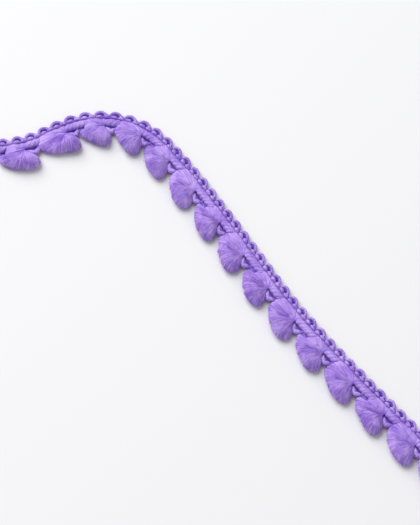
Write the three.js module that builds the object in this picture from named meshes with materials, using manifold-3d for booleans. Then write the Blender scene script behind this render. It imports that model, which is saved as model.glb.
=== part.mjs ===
// Pompom fringe trim: a narrow crocheted band with a scalloped edge on one side and a row of small
// fan-shaped pompoms on the other. It lies on the plane z = 0 in a gentle S, seen from above.
// Millimetres, +Z up. The origin is under the middle of the trim's bounding box.
//
// Every shape is written along the band: "along" runs from the left end to the right end on the band's
// centre line, "across" runs sideways from the neck line (where the pompoms are tied) and is positive
// towards the pompoms, and "height" is above the plane. The function at() turns them into x, y, z.

import * as THREE from 'three';
import Module from 'manifold-3d';
import { mergeVertices } from 'three/addons/utils/BufferGeometryUtils.js';

const wasm = await Module();
wasm.setup();

// ---- driving dimensions ----

const REPEAT = 12;                 // one pompom to the next
const POMPOMS = 18;
const LENGTH = REPEAT * POMPOMS;
const NECK = 9;                    // where in its repeat each pompom is tied
const CENTRE_LINE = -2.4;          // the band's centre line, across from the neck line
const EDGE_INNER = -2.4;           // inner side of the edge chain
const GROUND_OUTER = -2.1;         // ground band, edge chain side
const GROUND_INNER = -0.4;         // ground band, neck line side
const THREAD_ACROSS = 0.15;        // the neck thread between two loops
const THREAD_HEIGHT = 0.75;        // its centre above the plane
const APEX_ALONG = -0.7;           // where a pompom's strands meet, from its tie
const APEX_ACROSS = 1.35;
const KNOT_RADIUS = 0.6;
const KNOT_LOW = 0.3;
const KNOT_HIGH = 2.7;
const VARIATION = 0.03;            // of a lock's reach, from one pompom to the next
const LOCK_GAP = 0.2;              // between neighbouring locks of a fan
const LOCK_STEP = 24.5;            // degrees from one lock of a fan to the next

// ---- route: a chain of arcs, each with its heading in degrees at the distance along ----

const ROUTE_START = new THREE.Vector2(-77.9, 59.4);
const ROUTE = [
  { along: 0, heading: -22 },
  { along: 16, heading: -20 },
  { along: 40, heading: 32 },
  { along: 46, heading: 25 },
  { along: 76, heading: -51 },
  { along: 96, heading: -56.5 },
  { along: 126, heading: -58 },
  { along: 148, heading: -51.5 },
  { along: 172, heading: -49 },
  { along: LENGTH, heading: -48 },
];
const ROUTE_STEP = 0.25;

function headingAt(along) {
  const inside = THREE.MathUtils.clamp(along, 0, LENGTH);
  const next = Math.max(1, ROUTE.findIndex((station) => station.along >= inside));
  const from = ROUTE[next - 1];
  const to = ROUTE[next];
  const part = (inside - from.along) / (to.along - from.along);
  return THREE.MathUtils.degToRad(from.heading + (to.heading - from.heading) * part);
}

const centreLine = [ROUTE_START];
for (let along = ROUTE_STEP / 2; along < LENGTH; along += ROUTE_STEP) {
  const heading = headingAt(along);
  const step = new THREE.Vector2(Math.cos(heading), Math.sin(heading)).multiplyScalar(ROUTE_STEP);
  centreLine.push(centreLine.at(-1).clone().add(step));
}

function at(along, across, height) {
  const index = Math.min(Math.floor(along / ROUTE_STEP), centreLine.length - 2);
  const part = along / ROUTE_STEP - index;
  const centre = centreLine[index].clone().lerp(centreLine[index + 1], part);
  const heading = headingAt(along);
  const side = across - CENTRE_LINE;
  return new THREE.Vector3(
    centre.x + side * Math.sin(heading),
    centre.y - side * Math.cos(heading),
    height,
  );
}

// ---- solids from rings ----

// Rings of equal length, one after another along the piece, joined into one closed body.
function loft(rings) {
  const count = rings[0].length;
  const last = (rings.length - 1) * count;
  const faces = [];
  for (let ring = 0; ring < last; ring += count) {
    for (let j = 0; j < count; j += 1) {
      const k = (j + 1) % count;
      faces.push(ring + j, ring + k, ring + count + j);
      faces.push(ring + k, ring + count + k, ring + count + j);
    }
  }
  for (let j = 1; j < count - 1; j += 1) {
    faces.push(0, j + 1, j);
    faces.push(last, last + j, last + j + 1);
  }
  const geometry = new THREE.BufferGeometry().setFromPoints(rings.flat());
  geometry.setIndex(faces);
  return geometry;
}

function solid(geometry) {
  const plain = geometry.clone();
  plain.deleteAttribute('normal');
  plain.deleteAttribute('uv');
  const merged = mergeVertices(plain);
  return new wasm.Manifold(new wasm.Mesh({
    numProp: 3,
    vertProperties: merged.attributes.position.array,
    triVerts: new Uint32Array(merged.index.array),
  }));
}

function geometryOf(manifold) {
  const mesh = manifold.getMesh();
  const geometry = new THREE.BufferGeometry();
  geometry.setAttribute('position', new THREE.BufferAttribute(mesh.vertProperties, 3));
  geometry.setIndex(new THREE.BufferAttribute(mesh.triVerts, 1));
  return geometry;
}

function named(name, geometry, material) {
  const mesh = new THREE.Mesh(geometry, material);
  mesh.name = name;
  return mesh;
}

// A stretch of band: each station's profile is a list of [across, height], clockwise seen along it.
function band(stations) {
  return loft(stations.map(({ along, profile }) => (
    profile.map(([across, height]) => at(along, across, height)))));
}

// ---- edge chain: two stitches to a scallop, three scallops to a repeat ----

const SCALLOP = REPEAT / 3;
const THREAD_WIDTH = 0.8;
const STITCH_WIDTH = 0.7;
const SCALLOP_PHASES = [
  { phase: 0.5, outer: -4.75, rim: 1.5, pit: 0.3, stitch: 1.25 },
  { phase: 1.5, outer: -4.4, rim: 1.3, pit: 0.6, stitch: 1.8 },
  { phase: 2.5, outer: -4.15, rim: 1.1, pit: 0.9, stitch: 1.25 },
  { phase: 3.5, outer: -4.75, rim: 1.45, pit: 0.6, stitch: 1.8 },
];

function edgeStation(along, { outer, rim, pit, stitch }) {
  return {
    along,
    profile: [
      [outer, 0],
      [outer, rim],
      [outer + THREAD_WIDTH, pit],
      [EDGE_INNER - STITCH_WIDTH, stitch],
      [EDGE_INNER, stitch],
      [EDGE_INNER, 0],
    ],
  };
}

function edgeChain() {
  const stations = [edgeStation(0, SCALLOP_PHASES.at(-1))];
  for (let start = 0; start < LENGTH; start += SCALLOP) {
    for (const row of SCALLOP_PHASES) {
      stations.push(edgeStation(start + row.phase, row));
    }
  }
  stations.push(edgeStation(LENGTH, SCALLOP_PHASES[0]));
  return band(stations);
}

// ---- ground: a ribbed bar of two lengths after each tie, then a broad lump of soft yarn ----

const GROUND_PHASES = [
  { from_tie: 0, middle: 1.2, sides: 0.9 },
  { from_tie: 0.6, middle: 2.0, sides: 1.5 },
  { from_tie: 1.3, middle: 1.75, sides: 1.3 },
  { from_tie: 2.0, middle: 2.05, sides: 1.6 },
  { from_tie: 2.8, middle: 1.6, sides: 1.2 },
  { from_tie: 3.6, middle: 2.1, sides: 1.6 },
  { from_tie: 4.8, middle: 2.1, sides: 1.6 },
  { from_tie: 5.6, middle: 1.4, sides: 1.0 },
  { from_tie: 6.6, middle: 2.3, sides: 1.8 },
  { from_tie: 8.8, middle: 2.5, sides: 2.0 },
  { from_tie: 10.8, middle: 2.0, sides: 1.5 },
];

function groundStation(along, { middle, sides }) {
  return {
    along,
    profile: [
      [GROUND_OUTER, 0],
      [GROUND_OUTER, sides - 0.3],
      [(GROUND_OUTER + GROUND_INNER) / 2, middle],
      [GROUND_INNER, sides],
      [GROUND_INNER, 0],
    ],
  };
}

function groundBand() {
  const stations = [groundStation(0, GROUND_PHASES.at(-1))];
  for (let tie = NECK - REPEAT; tie < LENGTH; tie += REPEAT) {
    for (const row of GROUND_PHASES) {
      const along = tie + row.from_tie;
      if (along > 0.1 && along < LENGTH - 0.1) {
        stations.push(groundStation(along, row));
      }
    }
  }
  stations.push(groundStation(LENGTH, GROUND_PHASES[4]));
  return band(stations);
}

// ---- neck chain: a thread along the neck line that droops in a beaded loop after each tie ----

const NECK_THREAD = [
  { from_tie: 0.7, across: 0.15, radius: 0.28 },
  { from_tie: 0.8, across: 0.85, radius: 0.42 },
  { from_tie: 1.3, across: 1.5, radius: 0.34 },
  { from_tie: 2.1, across: 1.8, radius: 0.5 },
  { from_tie: 2.8, across: 1.5, radius: 0.34 },
  { from_tie: 3.2, across: 0.85, radius: 0.42 },
  { from_tie: 3.3, across: 0.15, radius: 0.28 },
  { from_tie: 5.8, across: THREAD_ACROSS, radius: 0.25 },
  { from_tie: 9.2, across: THREAD_ACROSS, radius: 0.25 },
];

function neckChain() {
  const points = [{ along: 0, across: THREAD_ACROSS, radius: 0.25 }];
  for (let tie = NECK - REPEAT; tie < LENGTH; tie += REPEAT) {
    for (const { from_tie, across, radius } of NECK_THREAD) {
      const along = tie + from_tie;
      if (along > points.at(-1).along && along < LENGTH) {
        points.push({ along, across, radius });
      }
    }
  }
  points.push({ along: LENGTH, across: THREAD_ACROSS, radius: 0.28 });
  return loft(points.map((point, i) => {
    const before = points[Math.max(i - 1, 0)];
    const after = points[Math.min(i + 1, points.length - 1)];
    const way = new THREE.Vector2(after.along - before.along, after.across - before.across);
    const side = way.normalize().multiplyScalar(point.radius);
    return [
      at(Math.min(point.along + side.y, LENGTH), point.across - side.x, THREAD_HEIGHT),
      at(point.along, point.across, THREAD_HEIGHT + point.radius),
      at(Math.max(point.along - side.y, 0), point.across + side.x, THREAD_HEIGHT),
      at(point.along, point.across, THREAD_HEIGHT - point.radius),
    ];
  }));
}

// ---- pompoms: two layers of locks that fan out of a knot ----

const FAN_MIDDLE = 3;              // across, where a fan on the outside of a bend keeps its width

// How a lock swells from its root to its end, as shares of its reach.
const LOWER_SWELL = [
  { share: 0.04, low: 0.6, high: 1.2, width: 1 },
  { share: 0.7, low: 0, high: 2.1, width: 1 },
  { share: 1, low: 0.35, high: 1.5, width: 0.6 },
];
const UPPER_SWELL = [
  { share: 0.04, low: 1.6, high: 2.2, width: 1 },
  { share: 0.42, low: 2.2, high: 3.9, width: 1 },
  { share: 0.76, low: 2.3, high: 4.4, width: 1 },
  { share: 0.96, low: 2.7, high: 3.7, width: 0.6 },
];

// Each layer's first angle and the reach of its locks, from beside the band round to the tip.
// The upper locks lie over the gaps of the lower ones.
const LAYERS = [
  { first: 7, reaches: [7.3, 6.2, 5.35, 5.2, 5.6, 5.85], swell: LOWER_SWELL },
  { first: 19.25, reaches: [6.7, 5.6, 5.1, 5.2, 5.6], swell: UPPER_SWELL },
];

// Small differences from one pompom to the next, as a share between -1 and 1.
const variation = (pompom, turn) => Math.sin(2.4 * pompom + turn);

// How far a bend of the route opens the fans on its outside; none are narrowed on the inside.
function spreadAt(along) {
  const turn = headingAt(along + 1) - headingAt(along - 1);
  return Math.max(1, 1 + (turn / 2) * (FAN_MIDDLE - CENTRE_LINE));
}

// A place in a pompom's fan: the angle turns from back along the band out to the tip, the radius
// runs out from where the strands meet, and aside is square to it.
function fanPlace(tie, angle, radius, aside, height) {
  const turn = THREE.MathUtils.degToRad(angle);
  const back = radius * Math.cos(turn) - aside * Math.sin(turn);
  const out = radius * Math.sin(turn) + aside * Math.cos(turn);
  return at(tie + APEX_ALONG - back / spreadAt(tie), APEX_ACROSS + out, height);
}

function lock(tie, angle, reach, swell) {
  const widening = Math.tan(THREE.MathUtils.degToRad(LOCK_STEP / 2));
  return loft(swell.map(({ share, low, high, width }) => {
    const radius = share * reach;
    const half = Math.max(radius * widening - LOCK_GAP / 2, LOCK_GAP / 4) * width;
    return [
      fanPlace(tie, angle, radius, half, low),
      fanPlace(tie, angle, radius, half, high),
      fanPlace(tie, angle, radius, -half, high),
      fanPlace(tie, angle, radius, -half, low),
    ];
  }));
}

// The knot is a post with its corners between the locks, in degrees round the fan.
const KNOT_CORNERS = [-11.4, 37.6, 86.6, 135.6, 205, 277];

function knot(tie) {
  return loft([KNOT_LOW, KNOT_HIGH].map((height) => (
    KNOT_CORNERS.map((angle) => fanPlace(tie, angle, KNOT_RADIUS, 0, height)))));
}

function pompom(number) {
  const tie = NECK + REPEAT * (number - 1);
  const pieces = [solid(knot(tie))];
  for (const { first, reaches, swell } of LAYERS) {
    reaches.forEach((reach, place) => {
      const length = reach * (1 + VARIATION * variation(number, place));
      pieces.push(solid(lock(tie, first + LOCK_STEP * place, length, swell)));
    });
  }
  return geometryOf(wasm.Manifold.union(pieces));
}

// ---- materials and the finished trim ----

function yarn(color, roughness) {
  return new THREE.MeshStandardMaterial({ color, roughness, metalness: 0 });
}

const threadYarn = yarn(0x9d7bdc, 0.7);
const groundYarn = yarn(0x9673d6, 0.8);
const pompomYarn = yarn(0xa184e0, 0.9);

const trim = new THREE.Group();
trim.add(named('edge_chain', edgeChain(), threadYarn));
trim.add(named('ground_band', groundBand(), groundYarn));
trim.add(named('neck_chain', neckChain(), threadYarn));
for (let number = 1; number <= POMPOMS; number += 1) {
  const name = `pompom_${String(number).padStart(2, '0')}`;
  trim.add(named(name, pompom(number), pompomYarn));
}

export default trim;
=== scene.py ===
"""Looks of the pompom fringe trim: plied edge thread, soft ground yarn and brushed fan-shaped pompoms."""

import bisect
import math
import random
from collections import namedtuple

import bmesh
import bpy
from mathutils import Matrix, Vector, noise


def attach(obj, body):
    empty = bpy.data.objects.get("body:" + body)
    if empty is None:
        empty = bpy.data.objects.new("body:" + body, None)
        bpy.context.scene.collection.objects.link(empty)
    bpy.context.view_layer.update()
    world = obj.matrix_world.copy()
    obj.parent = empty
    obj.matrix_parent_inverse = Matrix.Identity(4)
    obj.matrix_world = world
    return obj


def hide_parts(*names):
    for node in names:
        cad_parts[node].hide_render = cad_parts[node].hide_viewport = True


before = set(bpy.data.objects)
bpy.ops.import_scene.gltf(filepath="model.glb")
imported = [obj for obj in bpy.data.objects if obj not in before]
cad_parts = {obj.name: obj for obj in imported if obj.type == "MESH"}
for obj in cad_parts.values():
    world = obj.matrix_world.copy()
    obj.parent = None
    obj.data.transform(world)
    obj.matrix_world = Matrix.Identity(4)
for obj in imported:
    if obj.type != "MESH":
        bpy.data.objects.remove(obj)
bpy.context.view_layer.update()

# ---- the frame's own sizes, in millimetres, as the part's source has them ----

MM = 0.001
REPEAT = 12.0
POMPOMS = 18
LENGTH = REPEAT * POMPOMS
NECK = 9.0                        # the first tie's place along the band
CENTRE_LINE = -2.4                # across, from the neck line
ROUTE_START = (-77.9, 59.4)
ROUTE_STEP = 0.25

# headings are in degrees, anticlockwise from +X
Station = namedtuple("Station", "along heading")
ROUTE = (
    Station(0, -22),
    Station(16, -20),
    Station(40, 32),
    Station(46, 25),
    Station(76, -51),
    Station(96, -56.5),
    Station(126, -58),
    Station(148, -51.5),
    Station(172, -49),
    Station(LENGTH, -48),
)
FLOOR_GAP = 0.02                  # what rounded undersides keep from the floor


def tie_at(number):
    """Where a tie lies along the band."""
    return NECK + REPEAT * number


def heading_at(along):
    """Heading of the centre line in radians."""
    inside = min(max(along, 0.0), LENGTH)
    index = max(bisect.bisect_left([station.along for station in ROUTE], inside), 1)
    before, after = ROUTE[index - 1], ROUTE[index]
    part = (inside - before.along) / (after.along - before.along)
    return math.radians(before.heading + (after.heading - before.heading) * part)


def centre_points():
    """Points of the centre line, one at each step of the route."""
    x, y = ROUTE_START
    points = [(x, y)]
    for step in range(round(LENGTH / ROUTE_STEP)):
        heading = heading_at((step + 0.5) * ROUTE_STEP)
        x += ROUTE_STEP * math.cos(heading)
        y += ROUTE_STEP * math.sin(heading)
        points.append((x, y))
    return points


CENTRE = centre_points()


def at(along, across, height):
    """A place on the trim, in metres: along the band, across from the neck line, above the floor."""
    index = min(max(int(along / ROUTE_STEP), 0), len(CENTRE) - 2)
    part = along / ROUTE_STEP - index
    heading = heading_at(along)
    side = across - CENTRE_LINE
    x = CENTRE[index][0] * (1 - part) + CENTRE[index + 1][0] * part + side * math.sin(heading)
    y = CENTRE[index][1] * (1 - part) + CENTRE[index + 1][1] * part - side * math.cos(heading)
    return Vector((x, y, height)) * MM


def table_value(table, place):
    """Smooth value of a table of (place, value) rows, held level past its ends."""
    places = [row[0] for row in table]
    values = [row[1] for row in table]
    if place <= places[0]:
        return values[0]
    if place >= places[-1]:
        return values[-1]
    i = bisect.bisect_right(places, place) - 1

    def slope(j):
        low, high = max(j - 1, 0), min(j + 1, len(table) - 1)
        return (values[high] - values[low]) / (places[high] - places[low])

    width = places[i + 1] - places[i]
    t = (place - places[i]) / width
    rise = values[i + 1] - values[i]
    bend = t * (1 - t)
    straight = values[i] + rise * t * t * (3 - 2 * t)
    return straight + bend * width * ((1 - t) * slope(i) - t * slope(i + 1))


# ---- small differences between the repeats ----

NUMBER_STEP = 1.7                 # between two repeats, in the noise
TRAIT_STEP = 3.1                  # between two traits, in the noise
NOISE_START = (0.37, 0.21, 0.5)
WOBBLE_GAIN = 1.6

# traits that wobble tells apart; those of the strands are in their own tables
BAR_TRAIT = 6
CREST_TRAIT = 7
PLUMP_TRAIT = 8
CREASE_TRAIT = 10
DIMPLE_TRAIT = 15
CREASE_DEPTH_TRAIT = 20


def wobble(number, trait):
    """A fixed difference from one repeat to the next, from about -1 to 1, its own for each trait."""
    x = number * NUMBER_STEP + NOISE_START[0]
    y = trait * TRAIT_STEP + NOISE_START[1]
    return noise.noise(Vector((x, y, NOISE_START[2]))) * WOBBLE_GAIN


# ---- meshes from rings ----

MERGED_WITHIN = 0.002             # points this near each other become one
SHORTEST_EDGE = 0.0001


class Rings:
    """Gathers closed bodies, each made of rings one after another, into one mesh."""

    def __init__(self):
        self.points = []
        self.deeps = []
        self.faces = []
        self.corners = []

    def add(self, rings, uvs, deeps):
        """Adds one body.

        rings are lists of points. uvs has a place (across, along) the strands for each point of a ring, and
        one more that closes the ring. The last list holds each point's painted shade, from 0 to 1.
        """
        count = len(rings[0])
        base = len(self.points)
        for ring, deep in zip(rings, deeps):
            self.points.extend(ring)
            self.deeps.extend(deep)
        for i in range(len(rings) - 1):
            for j in range(count):
                k = (j + 1) % count
                low, high = base + i * count, base + (i + 1) * count
                self.faces.append((low + j, low + k, high + k, high + j))
                self.corners.extend((uvs[i][j], uvs[i][j + 1], uvs[i + 1][j + 1], uvs[i + 1][j]))
        for i, order in ((0, -1), (len(rings) - 1, 1)):
            start = base + i * count
            loop = list(range(count))[::order]
            self.faces.append([start + j for j in loop])
            self.corners.extend(uvs[i][j] for j in loop)

    def mesh(self, name):
        """All the bodies as one smooth mesh, with its places on the strands and its painted shade."""
        data = bpy.data.meshes.new(name)
        data.from_pydata(self.points, [], self.faces)
        layer = data.uv_layers.new(name="yarn")
        for loop, corner in zip(layer.data, self.corners):
            loop.uv = corner
        # each point's painted shade, by which the yarn materials darken their colour
        deep = data.attributes.new("deep", "FLOAT", "POINT")
        deep.data.foreach_set("value", self.deeps)
        data.polygons.foreach_set("use_smooth", [True] * len(data.polygons))
        data.update()
        return data


def turned_outward(data):
    """Merges points that meet and turns every face outward."""
    shape = bmesh.new()
    shape.from_mesh(data)
    bmesh.ops.remove_doubles(shape, verts=shape.verts, dist=MERGED_WITHIN * MM)
    bmesh.ops.dissolve_degenerate(shape, edges=shape.edges, dist=SHORTEST_EDGE * MM)
    bmesh.ops.recalc_face_normals(shape, faces=shape.faces)
    shape.to_mesh(data)
    shape.free()


def joined(name, meshes):
    """Several meshes as one, with their corner places kept."""
    shape = bmesh.new()
    for data in meshes:
        shape.from_mesh(data)
    whole = bpy.data.meshes.new(name)
    shape.to_mesh(whole)
    shape.free()
    whole.polygons.foreach_set("use_smooth", [True] * len(whole.polygons))
    return whole


def finished(name, data, material, node):
    """The mesh as a piece that rides with the trim and stands for its CAD node."""
    piece = bpy.data.objects.new(name, data)
    bpy.context.scene.collection.objects.link(piece)
    piece.data.materials.append(material)
    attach(piece, "root")
    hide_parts(node)
    return piece


def across_path(places, i):
    """The two directions across a path of points at one of them: sideways and up."""
    way = (places[min(i + 1, len(places) - 1)] - places[max(i - 1, 0)]).normalized()
    side = way.cross(Vector((0, 0, 1))).normalized()
    return side, side.cross(way)


# ---- plied thread ----

PLIES = 3
PLY_DEPTH = 0.11                  # of the thread's radius
PLY_TURN = 2.1                    # one turn of the plies, in millimetres
PLY_BULGE = 0.7                   # under 1 leaves broad plies with narrow grooves between them
PLY_SHADE = 0.45
PLY_SHADE_EDGE = 3                # how tightly the shade keeps to the grooves
THREAD_UNDER_SHADE = 0.35
THREAD_SIDES = 16

Bead = namedtuple("Bead", "along across height radius")

# trait is the first of those that a strand takes from wobble, and shade is painted shade that darkens it
# all over
Strand = namedtuple("Strand", "steps trait shade beads")


def smooth_path(rows, steps):
    """A path of steps + 1 beads through the rows of a table, smooth between them."""
    tables = [[(i, getattr(row, field)) for i, row in enumerate(rows)] for field in Bead._fields]
    last = len(rows) - 1
    return [Bead(*(table_value(table, last * i / steps) for table in tables)) for i in range(steps + 1)]


def thread(rings, path, twist=0.0, shade=0.0):
    """Adds a plied thread that follows a list of beads.

    Its plies are turned on by twist, in millimetres of the thread, and painted shade darkens it all over,
    as much as shade says.
    """
    places = [at(bead.along, bead.across, max(bead.height, bead.radius + FLOOR_GAP)) for bead in path]
    loops, uvs, deeps = [], [], []
    run = twist
    for i, (place, bead) in enumerate(zip(places, path)):
        side, up = across_path(places, i)
        if i:
            run += (place - places[i - 1]).length / MM
        loop, deep = [], []
        for j in range(THREAD_SIDES):
            angle = 2 * math.pi * j / THREAD_SIDES
            ply = abs(math.sin(PLIES / 2 * angle - math.pi * run / PLY_TURN * PLIES))
            radius = bead.radius * MM * (1 + PLY_DEPTH * (ply ** PLY_BULGE - 1))
            loop.append(place + (side * math.cos(angle) + up * math.sin(angle)) * radius)
            # painted shade in the grooves between the plies and on the thread's underside
            groove_shade = PLY_SHADE * (1 - ply) ** PLY_SHADE_EDGE
            under_shade = THREAD_UNDER_SHADE * max(-math.sin(angle), 0)
            deep.append(min(shade + groove_shade + under_shade, 1.0))
        loops.append(loop)
        deeps.append(deep)
        uvs.append([(j / THREAD_SIDES, run) for j in range(THREAD_SIDES + 1)])
    rings.add(loops, uvs, deeps)


# ---- edge chain: plump arcs outside a row of stitches, with a hole behind each arc ----

SCALLOP = REPEAT / 3
STITCH = SCALLOP / 2
HOLE_START = 0.1                  # where the first hole lies along the band
STITCH_SHIFT = 0.42               # past a quarter and three quarters of the way between two holes
TWIST_STEP = 0.7                  # of the plies, from one thread to the next
BEAD_WOBBLE = Bead(0.06, 0.05, 0.06, 0.05)      # the last one is a share of the radius

# places along are from the hole
ARC = Strand(32, 1, 0.0, (
    Bead(-1.6, -3.25, 0.8, 0.3),
    Bead(-1.65, -3.65, 0.95, 0.4),
    Bead(-1.3, -4.12, 1.1, 0.45),
    Bead(-0.6, -4.42, 1.15, 0.45),
    Bead(0.1, -4.4, 1.1, 0.42),
    Bead(0.7, -4.12, 1.0, 0.4),
    Bead(1.3, -3.8, 0.8, 0.34),
    Bead(1.9, -3.68, 0.65, 0.32),
    Bead(2.4, -3.55, 0.6, 0.28),
))
LEG = Strand(12, 1, 0.0, (
    Bead(0.45, -4.12, 0.85, 0.22),
    Bead(0.9, -3.78, 1.05, 0.31),
    Bead(1.1, -3.42, 1.15, 0.33),
    Bead(1.12, -3.1, 1.0, 0.2),
))
INNER_TWIST = Strand(10, 9, 0.0, (
    Bead(-1.5, -3.4, 0.8, 0.25),
    Bead(-1.1, -3.52, 0.8, 0.28),
    Bead(-0.7, -3.52, 0.5, 0.15),
))

# places along are from the stitch's own middle
STITCH_ROW = Strand(16, 5, 0.0, (
    Bead(-0.95, -2.86, 0.85, 0.12),
    Bead(-0.62, -2.84, 1.4, 0.35),
    Bead(0.0, -2.8, 1.62, 0.48),
    Bead(0.62, -2.72, 1.4, 0.36),
    Bead(0.95, -2.66, 0.85, 0.12),
))

# the low thread under the arcs
UNDER_STEP = 0.4
UNDER_RADIUS = 0.42
UNDER_HEIGHT = 0.5
UNDER_ACROSS = -3.68
UNDER_SWING = 0.4
UNDER_SHADE = 0.72


def moved(bead, along, number, trait):
    """A bead at its place on the band, inside the cut ends and a little unlike its neighbours."""
    radius = bead.radius * (1 + BEAD_WOBBLE.radius * wobble(number, trait + 3))
    place = along + bead.along + BEAD_WOBBLE.along * wobble(number, trait)
    return Bead(
        min(max(place, radius), LENGTH - radius),
        bead.across + BEAD_WOBBLE.across * wobble(number, trait + 1),
        bead.height + BEAD_WOBBLE.height * wobble(number, trait + 2),
        radius,
    )


def laid_thread(rings, strand, along, number):
    """Adds one short thread of the edge chain at its place along the band."""
    beads = [moved(bead, along, number, strand.trait) for bead in strand.beads]
    thread(rings, smooth_path(beads, strand.steps), number * TWIST_STEP, strand.shade)


def under_thread(rings):
    """The low thread that shows through the holes, painted dark as their shade: it swings out under each
    arc.
    """
    steps = round(LENGTH / UNDER_STEP)
    path = []
    for i in range(steps + 1):
        along = UNDER_RADIUS + (LENGTH - 2 * UNDER_RADIUS) * i / steps
        swing = UNDER_SWING * math.cos(2 * math.pi * (along - HOLE_START) / SCALLOP)
        path.append(Bead(along, UNDER_ACROSS - swing, UNDER_HEIGHT, UNDER_RADIUS))
    thread(rings, path, 0.0, UNDER_SHADE)


def edge_chain(material):
    rings = Rings()
    for number in range(round(LENGTH / SCALLOP) + 1):
        for strand in (ARC, LEG, INNER_TWIST):
            laid_thread(rings, strand, HOLE_START + number * SCALLOP, number)
    under_thread(rings)
    for number in range(-1, round(LENGTH / STITCH)):
        laid_thread(rings, STITCH_ROW, HOLE_START + (number + 0.5) * STITCH + STITCH_SHIFT, number)
    finished("edge_chain_thread", rings.mesh("edge_chain_thread"), material, "edge_chain")


# ---- neck chain: a thread that droops in a beaded loop between the pompoms ----

# painted shade on the threads that lie back under the loops and the long bars
BACK_SHADE = 0.6
END_ROOM = 0.3                    # that the neck chain keeps from the cut ends
LOOP_WOBBLE = 0.1                 # of how far a loop reaches across

# places along are from the tie
LOOP = Strand(56, 5, 0.0, (
    Bead(0.5, 0.1, 0.7, 0.28),
    Bead(0.8, 0.6, 1.0, 0.44),
    Bead(1.4, 1.12, 1.25, 0.62),
    Bead(2.35, 1.58, 1.1, 0.7),
    Bead(3.1, 1.08, 1.25, 0.62),
    Bead(3.5, 0.5, 0.95, 0.42),
    Bead(3.6, 0.1, 0.8, 0.3),
    Bead(3.7, -0.3, 0.7, 0.28),
))
LOOP_BACK = Strand(24, 5, BACK_SHADE, (
    Bead(0.6, 0.0, 0.45, 0.3),
    Bead(1.3, 0.45, 0.5, 0.45),
    Bead(2.2, 0.65, 0.5, 0.48),
    Bead(3.1, 0.45, 0.5, 0.45),
    Bead(3.7, 0.0, 0.45, 0.3),
))
LONG_BAR_BACK = Strand(20, 5, BACK_SHADE, (
    Bead(3.5, 0.1, 0.45, 0.35),
    Bead(4.2, 0.3, 0.5, 0.48),
    Bead(6.6, 0.35, 0.5, 0.48),
    Bead(7.4, 0.1, 0.45, 0.35),
))
NECK_RUN_STEPS = 30
NECK_RUN = (
    Bead(3.85, -0.05, 0.45, 0.3),
    Bead(8.2, -0.05, 0.45, 0.3),
    Bead(12.5, -0.05, 0.45, 0.3),
)


def neck_chain(material):
    rings = Rings()
    for number in range(-1, POMPOMS):
        tie = tie_at(number)
        strands = [LOOP, LOOP_BACK] if number >= 0 else []
        if number % 2:
            strands.append(LONG_BAR_BACK)
        for strand in strands:
            size = 1 + LOOP_WOBBLE * wobble(number, strand.trait)
            beads = [row._replace(along=tie + row.along, across=row.across * size) for row in strand.beads]
            whole = smooth_path(beads, strand.steps)
            path = [bead for bead in whole if END_ROOM < bead.along < LENGTH - END_ROOM]
            if len(path) > 2:
                thread(rings, path, 0.0, strand.shade)
        if 0 <= number < POMPOMS - 1:
            beads = [row._replace(along=tie + row.along) for row in NECK_RUN]
            thread(rings, smooth_path(beads, NECK_RUN_STEPS))
    finished("neck_chain_thread", rings.mesh("neck_chain_thread"), material, "neck_chain")


# ---- fans of soft yarn, each drawn in at its tie ----

BAND_SIDE = 2.48                  # from the neck line to the stitches
SHORT_BAR = 3.9
LONG_BAR = 6.8
BAR_WOBBLE = 0.25                 # of a bar's length
BAR_SLANT = 0.4                   # how much later along a bar's end lies per millimetre towards the edge
BAR_MIDDLE = -1.38                # across, from the neck line

# angles are in degrees round the tie: 0 points back along the band, 90 straight out from it
# low_share and high_share are the shares of its height that a fan keeps at the ends of its stretch
Stretch = namedtuple("Stretch", "first full_low full_high last low_share high_share columns")
TUFT = Stretch(-8, 6, 92, 134, 0.65, 0.5, 118)
LOW_TUFT = TUFT._replace(first=7, full_low=20, low_share=0.85)      # beside a long bar
LUMP = Stretch(-125, -100, -1, 9, 0.7, 0.8, 60)
LUMP_LONGEST = 8.8
LUMP_OVERLAP = 0.35               # of a lump past the end of the bar before it
LUMP_SQUARENESS = 9
SPREAD_PLACE = 3                  # across: about the middle of a fan, where its spread is measured

# rows of (angle, value): reach and crest are in millimetres, the rim's height is a share of the crest,
# and swell is the share of the reach at which the top is as high as the crest
REACH = (
    (-8, 7.9), (4, 8.15), (11, 8.35), (19, 8.2), (27, 7.8), (44, 6.95), (66, 6.35),
    (90, 6.4), (104, 6.45), (116, 6.2), (124, 5.5), (130, 4.55), (134, 3.2),
)
CREST = (
    (-125, 1.5), (-90, 1.75), (-50, 1.85), (-10, 1.95), (10, 2.25), (30, 2.95),
    (60, 3.55), (95, 3.6), (115, 3.3), (134, 2.8),
)
RIM = ((-60, 0.5), (-25, 0.75), (0, 0.62), (40, 0.42))
SWELL = ((-70, 0.4), (-20, 0.5), (20, 0.55))
REACH_WOBBLE = 0.03               # of the reach
REACH_WAVE = 40                   # degrees of a fan to one trait of its reach
CREST_WOBBLE = 0.04               # of the crest
TIE_TOP = 1.5
TIE_UNDER = 0.8
TOP_ROWS = 40
UNDER_ROWS = 14
TUCK = 0.72                       # share of the reach at which a fan rests on the floor
FLANK_START = 90                  # the angle from which the tip's flank is drawn in
FLANK_TURN = 12                   # degrees that the tip's flank draws in beside the loop
FLANK_SHARE = 0.8                 # share of the reach up to which it is drawn in

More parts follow.
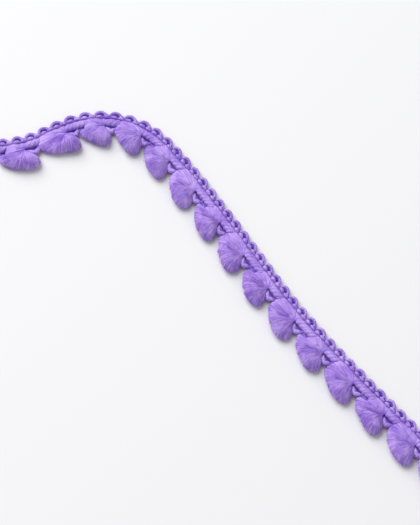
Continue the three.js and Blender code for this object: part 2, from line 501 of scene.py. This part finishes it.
Crease = namedtuple("Crease", "angle width depth start end")
CREASES = (
    Crease(-55, 9, 0.12, 0.0, 1.0),
    Crease(-20, 8, 0.15, 0.0, 0.8),
    Crease(30, 16, 0.25, 0.0, 0.7),
    Crease(33, 8, 0.55, 0.02, 0.72),
    Crease(66, 7, 0.05, 0.1, 0.9),
    Crease(99, 7, 0.08, 0.08, 0.8),
)
CREASE_DRIFT = 6                  # degrees to either side
CREASE_WOBBLE = 0.5               # of a crease's depth
CREASE_NARROW = 0.6               # of its width, at the tie
CREASE_WIDENING = 0.8             # and this much more at the rim
CREASE_EXTENT = 3                 # widths to each side in which a crease is felt
CREASE_EASE = 0.1                 # of its wave that is left out at its start
DIMPLE_ANGLE = -5
DIMPLE_RADIUS = 2.4
DIMPLE_DRIFT = 0.5                # of its radius from one fan to the next
DIMPLE_SIZE = 0.5
DIMPLE_DEPTH = 0.24

# low relief from noise: the degrees to one of its steps, and its steps from the tie to the rim
Relief = namedtuple("Relief", "degrees steps level depth")
LOCK_RELIEF = Relief(8, 1.2, 0, 0.06)
STRAND_RELIEF = Relief(2.6, 1.5, 40, 0.06)
RELIEF_NUMBER_STEP = 5.3          # between two fans, in the noise
RELIEF_RISE = 2.2                 # how fast it grows from the tie, per share of the reach

# painted shade on the fans: darker where the surface sinks and near the tie
GROOVE_SHADE = 1.1                # darker per millimetre that the surface sinks
TIE_SHADE = 0.5
TIE_SHADE_REACH = 1.6             # from the tie, where that shade ends
PATTERN_DEGREES = 60              # of a fan to one step of the strands' pattern
PATTERN_NUMBER_STEP = 9           # between two fans, in the strands' pattern


def bar_length(number):
    """Length of the ribbed bar after a tie: short and long in turn."""
    return (LONG_BAR if number % 2 else SHORT_BAR) + BAR_WOBBLE * wobble(number, BAR_TRAIT)


def spread_at(along):
    """How far a bend opens the fans on its outside; none are narrowed on the inside."""
    turn = (heading_at(along + 1) - heading_at(along - 1)) / 2
    return max(1.0, 1.0 + turn * (SPREAD_PLACE - CENTRE_LINE))


SPREADS = [spread_at(tie_at(number)) for number in range(POMPOMS)]


def tuft_reach(number, angle):
    """How far a tuft reaches from its tie at one angle."""
    return table_value(REACH, angle) * (1 + REACH_WOBBLE * wobble(number, angle / REACH_WAVE))


def tuft_stretch(number):
    """A tuft that follows a long bar starts further round, clear of the bar's end."""
    return LOW_TUFT if (number - 1) % 2 else TUFT


def lump_reach(number, angle):
    """The lump beside the tuft fills the band from the tie back to the bar before it."""
    turn = math.radians(angle)
    back = REPEAT - bar_length(number - 1) + LUMP_OVERLAP - BAR_SLANT * BAR_MIDDLE
    lean = math.cos(turn) - BAR_SLANT * min(math.sin(turn), 0.0)
    limits = (max(lean, 0.0) / back, max(-math.sin(turn), 0.0) / BAND_SIDE, 1 / LUMP_LONGEST)
    return sum(limit ** LUMP_SQUARENESS for limit in limits) ** (-1 / LUMP_SQUARENESS)


def side_share(stretch, angle):
    """How much of its height a fan keeps as it rounds off at the ends of its stretch."""
    if angle > stretch.full_high:
        past = (angle - stretch.full_high) / (stretch.last - stretch.full_high)
    elif angle < stretch.full_low:
        past = (stretch.full_low - angle) / (stretch.full_low - stretch.first)
    else:
        past = 0.0
    return math.sqrt(max(1 - past * past, 0.0))


Shape = namedtuple("Shape", "crest rim swell side closed")


def shape_at(number, angle, stretch):
    """The sizes of a fan's section at one angle."""
    crest = table_value(CREST, angle) * (1 + CREST_WOBBLE * wobble(number, CREST_TRAIT))
    rim = crest * table_value(RIM, angle)
    closed = stretch.low_share if angle < stretch.full_low else stretch.high_share
    return Shape(crest, rim, table_value(SWELL, angle), side_share(stretch, angle), closed)


def flattened(shape, height, top):
    """A height drawn towards the line in which the fan closes, a share of its top's height."""
    middle = shape.closed * top
    return middle + (height - middle) * shape.side


def top_height(shape, share):
    """Height of a fan's top at a share of the way from the tie to the rim."""
    if share < shape.swell:
        return TIE_TOP + (shape.crest - TIE_TOP) * math.sin(math.pi / 2 * share / shape.swell)
    fall = (share - shape.swell) / (1 - shape.swell)
    return shape.rim + (shape.crest - shape.rim) * math.sqrt(max(1 - fall * fall, 0))


def meridian(shape):
    """The closed section of a fan at one angle: (share of the reach, height) over the top and back."""
    section = []
    for i in range(TOP_ROWS + 1):
        share = math.sin(math.pi / 2 * i / TOP_ROWS)
        section.append((share, top_height(shape, share)))
    for i in range(1, UNDER_ROWS + 1):
        share = math.cos(math.pi / 2 * i / UNDER_ROWS)
        if share > TUCK:
            fall = (share - TUCK) / (1 - TUCK)
            height = shape.rim * (1 - math.sqrt(max(1 - fall * fall, 0)))
        else:
            height = TIE_UNDER * (1 - math.sin(math.pi / 2 * share / TUCK))
        section.append((share, max(height, FLOOR_GAP)))
    return [(share, flattened(shape, height, top_height(shape, share))) for share, height in section]


def crease_depth(number, i, crease, angle, share):
    """How far one crease sinks at a place of a fan."""
    near = angle - crease.angle - CREASE_DRIFT * wobble(number, CREASE_TRAIT + i)
    near /= crease.width * (CREASE_NARROW + CREASE_WIDENING * share)
    if abs(near) >= CREASE_EXTENT or not crease.start <= share <= crease.end:
        return 0.0
    span = (share - crease.start) / (crease.end - crease.start)
    depth = crease.depth * (1 + CREASE_WOBBLE * wobble(number, CREASE_DEPTH_TRAIT + i))
    return depth * math.exp(-near * near) * math.sin(math.pi * (span * (1 - CREASE_EASE) + CREASE_EASE))


def relief(kind, number, angle, share):
    """How far one kind of low relief sinks at a place of a fan, or rises where it is negative."""
    level = number * RELIEF_NUMBER_STEP + kind.level
    return kind.depth * noise.noise(Vector((angle / kind.degrees, share * kind.steps, level)))


def groove(number, angle, share, radius):
    """How far the surface sinks at a place of a fan, in millimetres."""
    sink = 0.0
    for i, crease in enumerate(CREASES):
        sink += crease_depth(number, i, crease, angle, share)
    aside = math.radians(angle - DIMPLE_ANGLE) * radius
    outward = radius - DIMPLE_RADIUS - DIMPLE_DRIFT * wobble(number, DIMPLE_TRAIT)
    away = math.hypot(outward, aside) / DIMPLE_SIZE
    sink += DIMPLE_DEPTH * math.exp(-away * away)
    locks = relief(LOCK_RELIEF, number, angle, share)
    strands = relief(STRAND_RELIEF, number, angle, share)
    return sink + min(share * RELIEF_RISE, 1) * (locks + strands)


def fan_place(number, angle, share, radius, height):
    """A place of a fan, in metres: the tip's flank is drawn in near the tie."""
    flank = FLANK_TURN * max((angle - FLANK_START) / (TUFT.last - FLANK_START), 0.0) ** 2
    turn = math.radians(angle - flank * max(1 - share / FLANK_SHARE, 0.0))
    return at(tie_at(number) - radius * math.cos(turn) / SPREADS[number], radius * math.sin(turn), height)


def fan_shade(sink, tie_shade, away):
    """How much painted shade a place of a fan has: by how far it is sunk, and by how near it is to the tie.
    """
    return min(GROOVE_SHADE * max(sink, 0.0) + tie_shade * max(1 - away, 0.0), 1.0)


def pattern_place(number, angle):
    """Where a place of a fan lies across the strands' pattern, far from those of the other fans."""
    return angle / PATTERN_DEGREES + PATTERN_NUMBER_STEP * number


def fan(name, number, stretch, reach):
    """One stretch of a fan as a closed mesh, with its creases and low relief sunk into it."""
    loops, uvs, deeps, sinks = [], [], [], []
    for i in range(stretch.columns + 1):
        angle = stretch.first + (stretch.last - stretch.first) * i / stretch.columns
        far = reach(number, angle)
        loop, row, deep = [], [], []
        for share, height in meridian(shape_at(number, angle, stretch)):
            radius = share * far
            sink = groove(number, angle, share, radius)
            loop.append(fan_place(number, angle, share, radius, height))
            row.append((pattern_place(number, angle), share))
            deep.append(fan_shade(sink, TIE_SHADE, radius / TIE_SHADE_REACH))
            sinks.append(sink)
        loops.append(loop)
        uvs.append(row + [row[0]])
        deeps.append(deep)
    rings = Rings()
    rings.add(loops, uvs, deeps)
    data = rings.mesh(name)
    normals = [vertex.normal.copy() for vertex in data.vertices]
    for vertex, normal, sink in zip(data.vertices, normals, sinks):
        vertex.co = vertex.co - normal * sink * MM
        vertex.co.z = max(vertex.co.z, FLOOR_GAP * MM)
    turned_outward(data)
    return data


# ---- pompoms: a tuft each, with fine fibres on it ----

Fibre = namedtuple("Fibre", "count steps sides radius drift start reach last lift")
RAISED_STRANDS = Fibre(110, 12, 4, (0.055, 0.1), 1.8, (0.12, 0.5), (0.35, 0.88), 1.02, 0.0)
LOOSE_HAIRS = Fibre(150, 4, 3, (0.018, 0.03), 4.0, (0.55, 0.99), (0.06, 0.12), 1.07, 0.15)
FIBRE_MARGINS = (3, 4)            # degrees that a fibre's middle keeps from the ends of a tuft's stretch
FIBRE_TINTS = 3                   # steps of the strands' pattern that their tints come from
FIBRE_TIP = 0.01                  # radius that is left at the tip
FIBRE_ROOT = 0.3                  # of its radius that a fibre has at its start
FIBRE_WIDENING = 3                # of its radius, per length of the fibre
FIBRE_TAPER = 3                   # how late a fibre thins towards its tip
FIBRE_DROOP = 4.0                 # millimetres lower for each reach past the rim
FIBRE_TIE_SHADE = 0.3
FIBRE_TIE_SHARE = 0.4             # share of the reach where that shade ends


def fibre_point(number, stretch, angle, share, lift):
    """A point of a fibre along a tuft's top, drooping past its rim, and how far the top is sunk there."""
    inner = min(share, 1.0)
    radius = share * tuft_reach(number, angle)
    shape = shape_at(number, angle, stretch)
    top = top_height(shape, inner)
    sink = groove(number, angle, inner, radius)
    height = flattened(shape, top, top) - sink
    height += lift - FIBRE_DROOP * (share - inner)
    return fan_place(number, angle, share, radius, height), sink


def fibre(rings, number, kind, chance):
    """Adds one fine fibre to a tuft's top, lifted towards its tip if its kind says so."""
    stretch = tuft_stretch(number)
    angle = chance.uniform(stretch.first + FIBRE_MARGINS[0], stretch.last - FIBRE_MARGINS[1])
    drift = chance.uniform(-kind.drift, kind.drift)
    start = chance.uniform(*kind.start)
    end = min(start + chance.uniform(*kind.reach), kind.last)
    radius = chance.uniform(*kind.radius)
    tint = pattern_place(number, angle) + chance.uniform(0, FIBRE_TINTS)
    centres, sizes, uvs, deeps = [], [], [], []
    for i in range(kind.steps + 1):
        part = i / kind.steps
        share = start + (end - start) * math.sin(math.pi / 2 * part)
        here = angle + drift * (2 * part - 1)
        centre, sink = fibre_point(number, stretch, here, share, kind.lift * part * part)
        swelling = min(1, FIBRE_ROOT + FIBRE_WIDENING * part)
        centres.append(centre)
        sizes.append(radius * (1 - part ** FIBRE_TAPER) * swelling * MM + FIBRE_TIP * MM)
        uvs.append([(tint, share)] * (kind.sides + 1))
        deeps.append([fan_shade(sink, FIBRE_TIE_SHADE, share / FIBRE_TIE_SHARE)] * kind.sides)
    turns = [2 * math.pi * j / kind.sides for j in range(kind.sides)]
    loops = []
    for i, (centre, size) in enumerate(zip(centres, sizes)):
        side, up = across_path(centres, i)
        loops.append([centre + (side * math.cos(turn) + up * math.sin(turn)) * size for turn in turns])
    rings.add(loops, uvs, deeps)


def fibre_mesh(number):
    """All the fibres of one pompom."""
    rings = Rings()
    chance = random.Random(number + 1)
    for kind in (RAISED_STRANDS, LOOSE_HAIRS):
        for _ in range(kind.count):
            fibre(rings, number, kind, chance)
    return rings.mesh(f"fibres_{number}")


def pompoms(material):
    for number in range(POMPOMS):
        name = f"pompom_tuft_{number + 1:02d}"
        tuft = joined(name, [fan("tuft", number, tuft_stretch(number), tuft_reach), fibre_mesh(number)])
        finished(name, tuft, material, f"pompom_{number + 1:02d}")


# ---- ground: a low base, ribbed bars after each tie and the lump beside each tuft ----

BasePoint = namedtuple("BasePoint", "across height deep")
# the last column is painted shade: darkest where the base shows low in the holes and gaps
BASE = (
    BasePoint(-3.6, 0.02, 1.0),
    BasePoint(-3.6, 0.4, 1.0),
    BasePoint(-3.1, 0.5, 1.0),
    BasePoint(-2.75, 1.2, 0.1),
    BasePoint(-2.1, 1.2, 0.1),
    BasePoint(0.1, 0.35, 0.8),
    BasePoint(0.1, 0.02, 1.0),
    BasePoint(-2.1, 0.0, 1.0),
)
BASE_STEP = 0.5
BASE_END = 0.5                    # of the band past the base's ends
BASE_PATTERN = 10                 # millimetres to one step along the strands' pattern

BAR_START = 0.1                   # from the tie
BAR_HALF = 1.17                   # half its width across the band
BAR_LEAN = 0.3                    # of the bar's top towards the neck
BAR_CENTRE = 0.9                  # height of its middle
BAR_RISE = 1.15                   # from its middle to its top
PLUMP_WOBBLE = 0.05               # of its rise
BAR_END = 0.5                     # of its size that a bar keeps at its ends
BAR_SQUARENESS = 4                # how late a bar rounds off towards its ends
BAR_LEAST_WIDTH = 0.35            # of its width that a bar keeps however thin it gets
BAR_STEPS = 36
BAR_SIDES = 26
BAR_PATTERN_ROUND = 3             # steps of the strands' pattern round a bar
BAR_PATTERN = 6                   # millimetres to one step along it
SECOND_BAR_START = 3.6            # from the tie: a long bar is two in a row
SECOND_BAR_NUMBER = 40            # more than the first one's, so that the two differ
BAR_OVERLAP = 0.3                 # of a second bar over the first
BAR_TUCK = 0.6                    # of a bar's end under the lump after it
RIB = 1.4                         # from one rib to the next
RIB_DEPTH = 0.17                  # of the bar's size
RIB_SLANT = 0.25                  # like BAR_SLANT, and on top of it
RIB_BULGE = 0.8                   # under 1 leaves broad ribs with narrow grooves between them
RIB_SHADE = 0.35
BAR_END_SHADE = 0.5
BAR_UNDER_SHADE = 0.4


def base_strip(rings):
    """The low base that carries the bars and lumps, along the whole band."""
    loops, uvs = [], []
    steps = round(LENGTH / BASE_STEP)
    for i in range(steps + 1):
        along = BASE_END + (LENGTH - 2 * BASE_END) * i / steps
        loops.append([at(along, point.across, point.height) for point in BASE])
        uvs.append([(j / len(BASE), along / BASE_PATTERN) for j in range(len(BASE) + 1)])
    rings.add(loops, uvs, [[point.deep for point in BASE]] * len(loops))


def bar(rings, number, start, end):
    """A plump slanted lump of yarn with cross threads that raise ribs on it."""
    loops, uvs, deeps = [], [], []
    plump = 1 + PLUMP_WOBBLE * wobble(number, PLUMP_TRAIT)
    for i in range(BAR_STEPS + 1):
        share = 0.5 - 0.5 * math.cos(math.pi * i / BAR_STEPS)
        along = start + (end - start) * share
        ends = max(1 - abs(2 * share - 1) ** BAR_SQUARENESS, 0.0) ** 0.5
        loop, deep = [], []
        for j in range(BAR_SIDES):
            turn = 2 * math.pi * j / BAR_SIDES
            offset, lift = BAR_HALF * math.cos(turn), math.sin(turn)
            rib = abs(math.sin(math.pi * (along - start + RIB_SLANT * offset) / RIB + number)) ** RIB_BULGE
            size = (BAR_END + (1 - BAR_END) * ends) * (1 - RIB_DEPTH * (1 - rib))
            width = BAR_LEAST_WIDTH + (1 - BAR_LEAST_WIDTH) * size
            height = max(BAR_CENTRE + BAR_RISE * size * lift * plump, FLOOR_GAP)
            placed = min(max(along - BAR_SLANT * offset, 0.0), LENGTH)
            loop.append(at(placed, BAR_MIDDLE + offset * width + BAR_LEAN * lift * size, height))
            # painted shade: darker in the grooves between the ribs, towards the bar's ends and on its
            # underside
            groove_shade = RIB_SHADE * (1 - rib) ** 2
            end_shade = BAR_END_SHADE * (1 - ends) ** 2
            under_shade = BAR_UNDER_SHADE * max(-lift, 0.0)
            deep.append(min(groove_shade + end_shade + under_shade, 1.0))
        loops.append(loop)
        deeps.append(deep)
        run = share * (end - start) / BAR_PATTERN
        uvs.append([(j / BAR_SIDES * BAR_PATTERN_ROUND + number, run) for j in range(BAR_SIDES + 1)])
    rings.add(loops, uvs, deeps)


def ground_band(material):
    rings = Rings()
    base_strip(rings)
    for number in range(-1, POMPOMS):
        tie = tie_at(number)
        end = tie + bar_length(number)
        if number >= 0:
            bar(rings, number, tie + BAR_START, min(tie + SHORT_BAR + BAR_TUCK, LENGTH))
        if number % 2 and end < LENGTH:
            bar(rings, number + SECOND_BAR_NUMBER, tie + SECOND_BAR_START - BAR_OVERLAP, end + BAR_TUCK)
    parts = [rings.mesh("bars")]
    turned_outward(parts[0])
    for number in range(POMPOMS):
        parts.append(fan(f"lump_{number}", number, LUMP, lump_reach))
    piece = finished("ground_yarn", joined("ground_yarn", parts), material, "ground_band")


# ---- materials ----

# light and dark are the yarn's own tones; the third colour is painted shade, mixed in by each point's
# painted shade
Yarn = namedtuple("Yarn", "name light dark deep streaks streak_depth sheen roughness")
PLIED_THREAD = Yarn(
    name="plied_thread",
    light=(0.515, 0.362, 0.795, 1),
    dark=(0.272, 0.150, 0.600, 1),
    deep=(0.115, 0.042, 0.450, 1),
    streaks=(6.0, 1.5, 1.0),
    streak_depth=0.03,
    sheen=0.15,
    roughness=0.6,
)
GROUND_YARN = Yarn(
    name="ground_yarn",
    light=(0.508, 0.357, 0.785, 1),
    dark=(0.262, 0.146, 0.580, 1),
    deep=(0.138, 0.052, 0.480, 1),
    streaks=(24.0, 1.4, 1.0),
    streak_depth=0.07,
    sheen=0.2,
    roughness=0.8,
)
BRUSHED_YARN = Yarn(
    name="brushed_yarn",
    light=(0.510, 0.350, 0.785, 1),
    dark=(0.232, 0.118, 0.550, 1),
    deep=(0.132, 0.050, 0.470, 1),
    streaks=(24.0, 1.4, 1.0),
    streak_depth=0.07,
    sheen=0.25,
    roughness=0.85,
)
SPECULAR = 0.3
SHEEN_ROUGHNESS = 0.4
SHEEN_TINT = (0.72, 0.55, 1.0, 1)
GRAIN_SCALE = 2600.0              # of the fine fibre grain, per metre
GRAIN_DEPTH = 0.05
PATCH_SCALE = 300.0               # of the soft patches, per metre
PATCH_WEIGHT = 0.45               # beside the streaks
TONE_FROM = 0.615                 # streaks and patches together, where the tone is dark
TONE_TO = 0.85                    # and where it is light


def yarn_material(yarn):
    """Matt yarn: streaks that follow the strands, a fine fibre grain, painted shade in its hollows and a
    little sheen.
    """
    material = bpy.data.materials.new(yarn.name)
    material.use_nodes = True
    tree = material.node_tree
    shader = tree.nodes["Principled BSDF"]
    shader.inputs["Roughness"].default_value = yarn.roughness
    shader.inputs["Specular IOR Level"].default_value = SPECULAR
    shader.inputs["Sheen Weight"].default_value = yarn.sheen
    shader.inputs["Sheen Roughness"].default_value = SHEEN_ROUGHNESS
    shader.inputs["Sheen Tint"].default_value = SHEEN_TINT

    def node(kind, **settings):
        made = tree.nodes.new(kind)
        for key, value in settings.items():
            if key in made.inputs:
                made.inputs[key].default_value = value
            else:
                setattr(made, key, value)
        return made

    places = node("ShaderNodeUVMap", uv_map="yarn")
    stretch = node("ShaderNodeMapping", Scale=yarn.streaks)
    strands = node("ShaderNodeTexNoise", Scale=1.0, Detail=5.0, Roughness=0.65)
    space = node("ShaderNodeTexCoord")
    grain = node("ShaderNodeTexNoise", Scale=GRAIN_SCALE, Detail=3.0, Roughness=0.7)
    patches = node("ShaderNodeTexNoise", Scale=PATCH_SCALE, Detail=2.0)
    blended = node("ShaderNodeMath", operation="MULTIPLY_ADD")
    blended.inputs[1].default_value = PATCH_WEIGHT
    share = node("ShaderNodeMapRange", **{"From Min": TONE_FROM, "From Max": TONE_TO})
    tones = node("ShaderNodeMix", data_type="RGBA")
    tones.inputs["A"].default_value = yarn.dark
    tones.inputs["B"].default_value = yarn.light
    # each point's painted shade darkens the tones towards the painted shade colour
    depth = node("ShaderNodeAttribute", attribute_name="deep")
    painted_shading = node("ShaderNodeMix", data_type="RGBA")
    painted_shading.inputs["B"].default_value = yarn.deep
    grain_bump = node("ShaderNodeBump", Strength=0.45, Distance=GRAIN_DEPTH * MM)
    strand_bump = node("ShaderNodeBump", Strength=0.9, Distance=yarn.streak_depth * MM)
    link = tree.links.new
    link(places.outputs["UV"], stretch.inputs["Vector"])
    link(stretch.outputs["Vector"], strands.inputs["Vector"])
    link(space.outputs["Object"], grain.inputs["Vector"])
    link(space.outputs["Object"], patches.inputs["Vector"])
    link(patches.outputs["Fac"], blended.inputs[0])
    link(strands.outputs["Fac"], blended.inputs[2])
    link(blended.outputs["Value"], share.inputs["Value"])
    link(share.outputs["Result"], tones.inputs["Factor"])
    link(tones.outputs["Result"], painted_shading.inputs["A"])
    link(depth.outputs["Fac"], painted_shading.inputs["Factor"])
    link(painted_shading.outputs["Result"], shader.inputs["Base Color"])
    link(grain.outputs["Fac"], grain_bump.inputs["Height"])
    link(strands.outputs["Fac"], strand_bump.inputs["Height"])
    link(grain_bump.outputs["Normal"], strand_bump.inputs["Normal"])
    link(strand_bump.outputs["Normal"], shader.inputs["Normal"])
    return material


# ---- stage, light and camera, in metres and degrees ----

FLOOR_SIZE = 6.0
FLOOR_COLOUR = (0.70, 0.70, 0.71, 1)
FLOOR_ROUGHNESS = 0.6
AIM = Vector((4.8, 16.3, 0.0)) * MM      # the floor point at the middle of the picture
CAMERA_ELEVATION = 60.0
CAMERA_DISTANCE = 1.0
CAMERA_CLIP = 0.01
VIEW_HEIGHT = 0.1405              # what the picture's height covers at the aim
SENSOR = 36.0                     # in millimetres
WORLD_COLOUR = (1, 1, 1, 1)
WORLD_STRENGTH = 0.5
Lamp = namedtuple("Lamp", "name azimuth elevation distance size power")
LAMPS = (
    Lamp("key", -40.0, 48.0, 1.6, 1.5, 32.0),
    Lamp("fill", 120.0, 45.0, 1.8, 1.6, 3.0),
)


def floor():
    bpy.ops.mesh.primitive_plane_add(size=FLOOR_SIZE, location=(0, 0, 0))
    plane = bpy.context.active_object
    plane.name = "floor"
    material = bpy.data.materials.new("pale_floor")
    material.use_nodes = True
    shader = material.node_tree.nodes["Principled BSDF"]
    shader.inputs["Base Color"].default_value = FLOOR_COLOUR
    shader.inputs["Roughness"].default_value = FLOOR_ROUGHNESS
    plane.data.materials.append(material)


def area_light(lamp):
    """A square lamp that faces the middle of the picture, at an azimuth clockwise from +Y."""
    data = bpy.data.lights.new(lamp.name, "AREA")
    data.energy = lamp.power
    data.size = lamp.size
    light = bpy.data.objects.new(lamp.name, data)
    bpy.context.scene.collection.objects.link(light)
    turn, lift = math.radians(lamp.azimuth), math.radians(lamp.elevation)
    way = Vector((math.sin(turn) * math.cos(lift), math.cos(turn) * math.cos(lift), math.sin(lift)))
    light.location = AIM + way * lamp.distance
    light.rotation_euler = (-way).to_track_quat("-Z", "Y").to_euler()


def studio():
    """The lamps, an even light from all round, and colours shown as they are."""
    for lamp in LAMPS:
        area_light(lamp)
    world = bpy.data.worlds.new("studio")
    world.use_nodes = True
    background = world.node_tree.nodes["Background"]
    background.inputs["Color"].default_value = WORLD_COLOUR
    background.inputs["Strength"].default_value = WORLD_STRENGTH
    bpy.context.scene.world = world
    bpy.context.scene.view_settings.view_transform = "Standard"


def camera():
    """A camera at the photo's angle, above the floor and facing +Y."""
    lift = math.radians(CAMERA_ELEVATION)
    away = Vector((0, -math.cos(lift), math.sin(lift)))
    data = bpy.data.cameras.new("camera")
    data.sensor_width = SENSOR
    data.lens = SENSOR * CAMERA_DISTANCE / VIEW_HEIGHT
    data.clip_start = CAMERA_CLIP
    eye = bpy.data.objects.new("camera", data)
    bpy.context.scene.collection.objects.link(eye)
    eye.location = AIM + away * CAMERA_DISTANCE
    eye.rotation_euler = (-away).to_track_quat("-Z", "Y").to_euler()
    bpy.context.scene.camera = eye


# ---- the scene ----

camera()
plied_thread = yarn_material(PLIED_THREAD)
edge_chain(plied_thread)
neck_chain(plied_thread)
ground_band(yarn_material(GROUND_YARN))
pompoms(yarn_material(BRUSHED_YARN))
floor()
studio()
